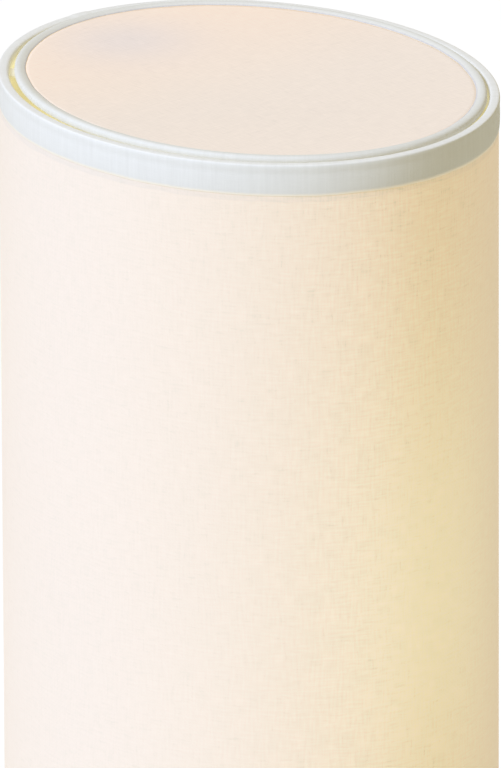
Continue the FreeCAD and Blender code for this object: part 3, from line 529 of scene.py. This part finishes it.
def bulb_light_mask(finish, spread, sided=False):
    """Where the bulbs' light goes: one at a bulb's height, falling off above and below; sided leaves it at the
    wall next to it.
    """
    x, y, z = finish.split(finish.place())
    humps = []
    for side, height in BULBS:
        hump = finish.hump(z, height, spread)
        if sided:
            edge = math.copysign(WALL_BY_BULB, side)
            beside = finish.ease(x, 0.0, edge)
            hump = finish.times(hump, beside, finish.hump(y, WALL_MIDDLE, WALL_REACH))
        humps.append(hump)
    return finish.add(*humps)


def rim_gap(finish):
    """How much of the lit inside shows past the lid: all of it at one end of the gap, half elsewhere."""
    x, y, _ = finish.split(finish.place())
    lit_through_end = finish.times(finish.hump(x, GAP_X, GAP_REACH), finish.hump(y, GAP_Y, GAP_REACH), 0.5)
    return finish.add(0.5, lit_through_end)


def weave(finish, pitch):
    """Uneven yarns both ways: how dense each spot is, and the height of the cloth."""
    u, v = finish.thread()
    slow_u, slow_v = finish.times(u, DRIFT_SLOW), finish.times(v, DRIFT_SLOW)
    fast_u, fast_v = finish.times(u, DRIFT_FAST), finish.times(v, DRIFT_FAST)
    across = finish.add(u, finish.times(finish.grain(fast_u, slow_v, 3), pitch))
    up = finish.add(v, finish.times(finish.grain(slow_u, fast_v, 6), pitch))
    fine = 1 / pitch
    coarse = THICK_YARN * fine
    warp = finish.grain(finish.times(across, fine), finish.times(v, WARP_CHANGES), 1)
    weft = finish.grain(finish.times(u, WEFT_CHANGES), finish.times(up, fine), 7)
    thick_weft = finish.grain(finish.times(u, SLUB_CHANGES), finish.times(up, coarse), 4, 2.0)
    thick_warp = finish.grain(finish.times(across, coarse), finish.times(v, LUMP_CHANGES), 9, 2.0)
    slub = finish.ease(thick_weft, 0.25, 0.75)
    lump = finish.ease(thick_warp, 0.3, 0.8)
    wave = finish.times(
        finish.math("SINE", finish.times(across, math.pi * fine)),
        finish.math("SINE", finish.times(up, math.pi * fine)),
    )
    dense = finish.add(warp, weft, slub, lump)
    crossings = finish.add(finish.times(wave, 0.35), finish.times(warp, 0.3), finish.times(weft, 0.3))
    return dense, finish.add(crossings, slub, lump)


def cover_cloth():
    """Cream slub linen over a stiff sheet, with a painted glow for the light of the lamps behind it coming
    through.
    """
    cloth = Finish("cover_cloth", Sheen_Weight=0.15, Sheen_Roughness=0.6, Specular_IOR_Level=0.2)
    cloth.set("Emission Strength", 1.0)
    dense, height = weave(cloth, COVER_PITCH)
    x, y, z = cloth.split(cloth.place())
    # Painted shadow: the glow drops by a tenth in a wavy band just below the rim tape and just above the hem
    # tape, where the tape's turn inside holds back the inner light.
    shadow_edge_z = cloth.add(z, cloth.times(cloth.cloud(60), 0.5 * MM))
    rim_turn_shadow = cloth.ease(shadow_edge_z, tape_low.z - 4.2 * MM, tape_low.z - 3.0 * MM, 1.0, 0.90)
    hem_turn_shadow = cloth.ease(shadow_edge_z, hem_high.z + 3.0 * MM, hem_high.z + 4.2 * MM, 0.90, 1.0)
    # Painted light: towards its +X end, where the outside light is weaker, the cover's glow turns warmer and
    # its yarns show more, as if lit through from inside.
    shaded_end = cloth.ease(x, SHADED_END_FROM, SHADED_END_TO)
    warm_glow_end = cloth.times(cloth.hump(y, WARM_GLOW_MIDDLE, WARM_GLOW_REACH), shaded_end)
    lit_through_end = cloth.times(cloth.hump(y, BACKLIT_YARN_MIDDLE, BACKLIT_YARN_REACH), shaded_end, 0.78)
    showing = cloth.times(dense, cloth.add(0.22, lit_through_end))
    uneven = cloth.add(1.0, cloth.times(showing, -0.012), cloth.times(cloth.cloud(5), 0.02))
    level = cloth.times(rim_turn_shadow, hem_turn_shadow, uneven)
    even = cloth.shade(cloth.blend(warm_glow_end, COVER_GLOW, COVER_END_GLOW), level)
    # Painted light: a pool of glow on the cover at each bulb's height, on the bulb's side of the stem.
    bulb_light_pool = cloth.shade(COVER_BULB_GLOW, cloth.times(bulb_light_mask(cloth, BULB_LIGHT_SPREAD, True), level))
    cloth.set("Emission Color", cloth.put("VectorMath", {0: even, 1: bulb_light_pool}, operation="ADD"))
    yarn = cloth.shade(COVER_YARN, showing)
    cloth.set("Base Color", cloth.put("VectorMath", {0: COVER_COLOUR, 1: yarn}, operation="SUBTRACT"))
    cloth.set("Roughness", cloth.add(0.86, cloth.times(dense, 0.04)))
    cloth.bump(height, 0.024 * MM)
    return cloth.material


def lid_cloth():
    """The lid's closer, smoother cloth with a painted glow of the inner light, warmer towards its -X end, and
    one painted shadow there.
    """
    cloth = Finish("lid_cloth", Sheen_Weight=0.1, Specular_IOR_Level=0.2, Emission_Strength=1.0)
    dense, height = weave(cloth, LID_PITCH)
    x, y, _ = cloth.split(cloth.place())
    # Painted shadow: a dim round patch on the lid's glow towards its -X end, as if cast by something inside.
    dull_and_shadow = cloth.times(cloth.hump(x, LID_SHADOW_X, LID_SHADOW_REACH), cloth.hump(y, LID_SHADOW_Y, LID_SHADOW_REACH))
    uneven = cloth.add(1.0, cloth.times(dense, -0.045), cloth.times(cloth.cloud(9), 0.04))
    glow = cloth.blend(cloth.ease(x, LID_END_FROM, LID_END_TO), LID_GLOW, LID_END_GLOW)
    cloth.set("Emission Color", cloth.shade(cloth.blend(dull_and_shadow, glow, LID_SHADOW_GLOW), uneven))
    cloth.set("Base Color", cloth.shade(LID_COLOUR, cloth.add(1.0, cloth.times(dense, -0.035))))
    cloth.set("Roughness", cloth.add(0.8, cloth.times(dense, 0.03)))
    cloth.bump(height, 0.02 * MM)
    return cloth.material


def tape_cloth(name, white, turn, edge, edge_width):
    """White ribbed cotton tape; past the turn it takes a painted glow from the lit inside, and its thin first
    edge takes a colour and glow of its own.
    """
    tape = Finish(name, Sheen_Weight=0.2, Sheen_Roughness=0.5, Specular_IOR_Level=0.25)
    tape.set("Emission Strength", 1.0)
    u, v = tape.thread()
    ribs = tape.grain(tape.times(u, RIBS), tape.times(v, RIB_CHANGES), 2)
    cords = tape.grain(tape.times(u, CORDS), tape.times(v, CORD_CHANGES), 5)
    across = tape.grain(tape.times(u, THREAD_CHANGES), tape.times(v, THREADS), 8)
    soil = tape.times(tape.cloud(16), 0.012)
    woven = tape.add(tape.times(ribs, 0.030), tape.times(cords, 0.022), tape.times(across, 0.012))
    frayed = tape.add(v, tape.times(across, 0.25 * MM), tape.times(ribs, 0.25 * MM))
    thin = tape.ease(frayed, 0.2 * MM, edge_width, 1.0, 0.0)
    edge_colour, edge_glow = edge
    tape.set("Base Color", tape.shade(tape.blend(thin, white, edge_colour), tape.add(1.0, woven, soil)))
    inside = tape.ease(v, turn, turn + 4 * MM)
    outside = tape.blend(thin, TAPE_GLOW, edge_glow)
    lit = tape.shade(INSIDE_GLOW, rim_gap(tape))
    tape.set("Emission Color", tape.blend(inside, outside, lit))
    tape.set("Roughness", tape.add(0.84, tape.times(ribs, 0.05)))
    height = tape.add(tape.times(ribs, 0.6), tape.times(cords, 0.5), tape.times(across, 0.3))
    tape.bump(height, 0.05 * MM)
    return tape.material


def liner_sheet(name, colour, glow):
    """The stiff clear-white sheet behind the cloth, with the faint cloudiness of its glue, and a painted glow
    of the lamps' light on it, stronger by the bulbs and, near the top, where the rim's gap shows the lit
    inside.
    """
    sheet = Finish(name, Specular_IOR_Level=0.4, Emission_Strength=1.0)
    smear = sheet.cloud(22, 4.0)
    _, _, z = sheet.split(sheet.place())
    upper_end = sheet.ease(z, tape_low.z - 40 * MM, tape_low.z - 10 * MM)
    rim_gap_light = sheet.add(1.0, sheet.times(upper_end, sheet.add(-1.0, rim_gap(sheet))))
    bulb_light = sheet.times(bulb_light_mask(sheet, BULB_LIGHT_SPREAD), 0.2)
    level = sheet.times(sheet.add(0.8, bulb_light, sheet.times(smear, 0.04)), rim_gap_light)
    sheet.set("Emission Color", sheet.shade(glow, level))
    sheet.set("Base Color", sheet.shade(colour, sheet.add(1.0, sheet.times(smear, 0.03))))
    sheet.set("Roughness", sheet.add(0.5, sheet.times(smear, 0.08)))
    sheet.bump(sheet.cloud(260), 0.03 * MM)
    return sheet.material


def opal_glass():
    """A bulb's frosted glass, brightest round its widest part."""
    glass = Finish("opal_glass", Roughness=0.22, Coat_Weight=0.4, Coat_Roughness=0.08)
    glass.set("Emission Strength", 1.0)
    bulb_light = glass.times(bulb_light_mask(glass, GLASS_SPREAD), 0.55)
    level = glass.add(0.45, bulb_light, glass.times(glass.cloud(30), 0.03))
    glass.set("Emission Color", glass.shade(GLASS_GLOW, level))
    glass.set("Base Color", glass.shade(GLASS_COLOUR, glass.add(1.0, glass.times(glass.cloud(12), 0.02))))
    glass.bump(glass.cloud(80), 0.02 * MM)
    return glass.material


def worn(finish, colour, edge, amount):
    """The colour, with its raised edges rubbed towards another and faint marks elsewhere."""
    geometry = finish.tree.nodes.new("ShaderNodeNewGeometry")
    raised = finish.add(geometry.outputs["Pointiness"], finish.times(finish.cloud(120), 0.012))
    rub = finish.times(finish.ease(raised, 0.52, 0.58), amount)
    marks = finish.add(1.0, finish.times(finish.cloud(24, 4.0), 0.03))
    finish.set("Base Color", finish.blend(rub, finish.shade(colour, marks), edge))


def coating(name, colour, roughness, grain, edge=(0.6, 0.6, 0.59), glow=(0.0, 0.0, 0.0)):
    """Baked powder paint with its fine orange peel, and the glow of the lit inside on it."""
    paint = Finish(name, Specular_IOR_Level=0.5, Coat_Weight=0.15, Coat_Roughness=0.3)
    paint.set("Emission Color", glow)
    paint.set("Emission Strength", 1.0)
    worn(paint, colour, edge, 0.35)
    paint.set("Roughness", paint.add(roughness, paint.times(paint.cloud(90, 3.0), 0.06)))
    paint.bump(paint.add(paint.cloud(grain), paint.times(paint.cloud(3 * grain), 0.3)), 0.05 * MM)
    return paint.material


def metal(name, colour, roughness, stretch=(1, 1, 14)):
    """Bare metal with the fine lines of its drawing or turning, and some dulling."""
    bare = Finish(name, Metallic=1.0)
    scale = tuple(240.0 * s for s in stretch)
    lined = bare.put("VectorMath", {0: bare.place(), 1: scale}, operation="MULTIPLY")
    lines = bare.put("TexNoise", {"Vector": lined, "Scale": 1.0, "Detail": 3.0})
    dull_and_shadow = bare.cloud(45, 3.0)
    bare.set("Base Color", bare.shade(colour, bare.add(0.97, bare.times(lines, 0.08), bare.times(dull_and_shadow, 0.05))))
    bare.set("Roughness", bare.add(roughness, bare.times(lines, 0.12), bare.times(dull_and_shadow, 0.05)))
    bare.bump(lines, 0.02 * MM)
    return bare.material


def moulded(name, colour, roughness, grain=500, depth=0.03):
    """Moulded plastic or rubber with its fine mould texture, its depth in millimetres."""
    plastic = Finish(name, Specular_IOR_Level=0.45)
    worn(plastic, colour, tuple(min(1.0, 1.2 * c) for c in colour), 0.3)
    plastic.set("Roughness", plastic.add(roughness, plastic.times(plastic.cloud(grain, 3.0), 0.06)))
    plastic.bump(plastic.cloud(grain, 3.0), depth * MM)
    return plastic.material


def dress(piece, material):
    """Give a piece its finish through its material slots."""
    if not piece.material_slots:
        piece.data.materials.append(material)
    for slot in piece.material_slots:
        slot.material = material


# ---------------------------------------------------------------- studio

def make_studio():
    """A pale floor and one broad lamp from the upper left under a dim warm sky."""
    mesh = bpy.data.meshes.new("floor")
    r = FLOOR_REACH
    mesh.from_pydata([(-r, -r, 0), (r, -r, 0), (r, r, 0), (-r, r, 0)], [], [(0, 1, 2, 3)])
    floor = bpy.data.objects.new("floor", mesh)
    bpy.context.scene.collection.objects.link(floor)
    ground = Finish("floor", Roughness=0.9, Specular_IOR_Level=0.1, Emission_Color=FLOOR_LIFT)
    ground.set("Base Color", FLOOR_COLOUR)
    ground.set("Emission Strength", seen(ground.tree))
    dress(floor, ground.material)

    world = bpy.data.worlds.new("studio")
    bpy.context.scene.world = world
    world.use_nodes = True
    tree = world.node_tree
    sky = tree.nodes["Background"]
    sky.inputs["Color"].default_value = (*SKY_COLOUR, 1)
    white = tree.nodes.new("ShaderNodeBackground")
    white.inputs["Color"].default_value = (1, 1, 1, 1)
    pick = tree.nodes.new("ShaderNodeMixShader")
    tree.links.new(seen(tree), pick.inputs[0])
    tree.links.new(sky.outputs[0], pick.inputs[1])
    tree.links.new(white.outputs[0], pick.inputs[2])
    tree.links.new(pick.outputs[0], tree.nodes["World Output"].inputs[0])

    key = bpy.data.lights.new("key", "SUN")
    towards = FRONT * KEY_FRONT - RIGHT * KEY_LEFT + UP * KEY_ABOVE
    key.energy = math.pi * towards.length * KEY_LEVEL
    key.color = KEY_COLOUR
    key.angle = KEY_SPREAD
    lamp = bpy.data.objects.new("key", key)
    lamp.rotation_euler = towards.to_track_quat("Z", "Y").to_euler()
    bpy.context.scene.collection.objects.link(lamp)


def seen(tree):
    """One for what the camera sees, straight on, mirrored or through glass."""
    path = tree.nodes.new("ShaderNodeLightPath")
    total = path.outputs["Is Camera Ray"]
    for name in ("Is Glossy Ray", "Is Transmission Ray"):
        node = tree.nodes.new("ShaderNodeMath")
        node.operation = "MAXIMUM"
        tree.links.new(total, node.inputs[0])
        tree.links.new(path.outputs[name], node.inputs[1])
        total = node.outputs[0]
    return total


# ---------------------------------------------------------------- whole lamp

make_camera()
make_studio()

white_wire = coating("white_wire", (0.80, 0.80, 0.77), 0.38, 700, glow=(0.26, 0.21, 0.10))
stand_paint = coating("stand_paint", (0.74, 0.73, 0.70), 0.5, 420)
zinc_plate = metal("zinc_plate", (0.66, 0.66, 0.64), 0.32)
screw_steel = metal("screw_steel", (0.58, 0.58, 0.57), 0.28, (3, 3, 8))
brass = metal("brass", (0.78, 0.60, 0.30), 0.25, (2, 2, 10))
nickel = metal("nickel", (0.70, 0.68, 0.63), 0.26, (1, 1, 18))
cream_plastic = moulded("cream_plastic", (0.72, 0.69, 0.61), 0.42)
black_plastic = moulded("black_plastic", (0.035, 0.035, 0.036), 0.5)
grey_rubber = moulded("grey_rubber", (0.06, 0.06, 0.062), 0.75, 900, 0.06)
sheath = moulded("sheath", (0.70, 0.69, 0.66), 0.5, 1200, 0.02)
# The rests are painted white like the other wires; this copy has a darker yellow base and a stronger glow,
# painted light from the lit gap they sit in.
lit_rest_wire = coating("lit_rest_wire", (0.42, 0.39, 0.30), 0.4, 700, glow=(0.36, 0.32, 0.17))
liner = liner_sheet("liner", (0.60, 0.58, 0.48), (0.44, 0.40, 0.22))
opal_sheet = liner_sheet("opal_sheet", (0.70, 0.68, 0.62), (0.42, 0.34, 0.20))
frosted_glass = opal_glass()

FINISHES = (
    (liner, "shade_liner"),
    (opal_sheet, "lid_panel"),
    (white_wire, "top_ring bottom_ring middle_rings shade_stays upper_spider lid_ring"),
    (lit_rest_wire, "lid_rests"),
    (stand_paint, "base_plate stem_flange stem stem_cap locating_tabs"),
    (zinc_plate, "holder_bracket_1 holder_bracket_2 holder_bracket_3"),
    (screw_steel, "flange_screws bracket_screws nipple_nuts nipples"),
    (cream_plastic, "lampholder_1 lampholder_2 lampholder_3"),
    (brass, "centre_contacts"),
    (nickel, "bulb_cap_1 bulb_cap_2 bulb_cap_3"),
    (frosted_glass, "bulb_glass_1 bulb_glass_2 bulb_glass_3"),
    (sheath, "inner_leads"),
    (grey_rubber, "rubber_feet"),
    (black_plastic, "cord_bush"),
)
for material, names in FINISHES:
    for name in names.split():
        dress(nodes[name], material)

cover = make_cover()
rim_tape = folded_tape("rim_tape", tape_high.z - BEAD, tape_low.z, 1)
hem_tape = folded_tape("hem_tape", hem_low.z + BEAD, hem_high.z, -1)
bead = make_lid_bead()
lid_face = make_lid_face()
seam = make_seam()

cloth = cover_cloth()
# A tape's thin edge: on the rim and hem tape, a duller colour and a warm glow, painted light coming through
# the thin edge from inside; on the lid's bead, a greyer colour with little glow, painted shade in the crease
# at its lip.
rim_edge_light = ((0.63, 0.66, 0.68), (0.385, 0.30, 0.185))
lid_lip_shade = ((0.58, 0.58, 0.62), (0.07, 0.06, 0.06))
trim = tape_cloth("trim_tape", (0.78, 0.79, 0.82), 27 * MM, rim_edge_light, 2.2 * MM)
lid_trim = tape_cloth("lid_trim", (0.70, 0.71, 0.72), 11 * MM, lid_lip_shade, 1.5 * MM)
for piece, material, slot, body, stands_for in (
    (cover, cloth, "shade_fabric", "shade", "shade_fabric"),
    (seam, cloth, "shade_fabric", "shade", "back_seam"),
    (rim_tape, trim, "trim_tape", "shade", "top_tape"),
    (hem_tape, trim, "trim_tape", "shade", "bottom_tape"),
    (bead, lid_trim, "trim_tape", "lid", "lid_tape"),
    (lid_face, lid_cloth(), "lid_fabric", "lid", "lid_fabric"),
):
    dress(piece, material)
    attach(piece, body)
    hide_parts(stands_for)

bpy.context.scene.view_settings.view_transform = "Standard"
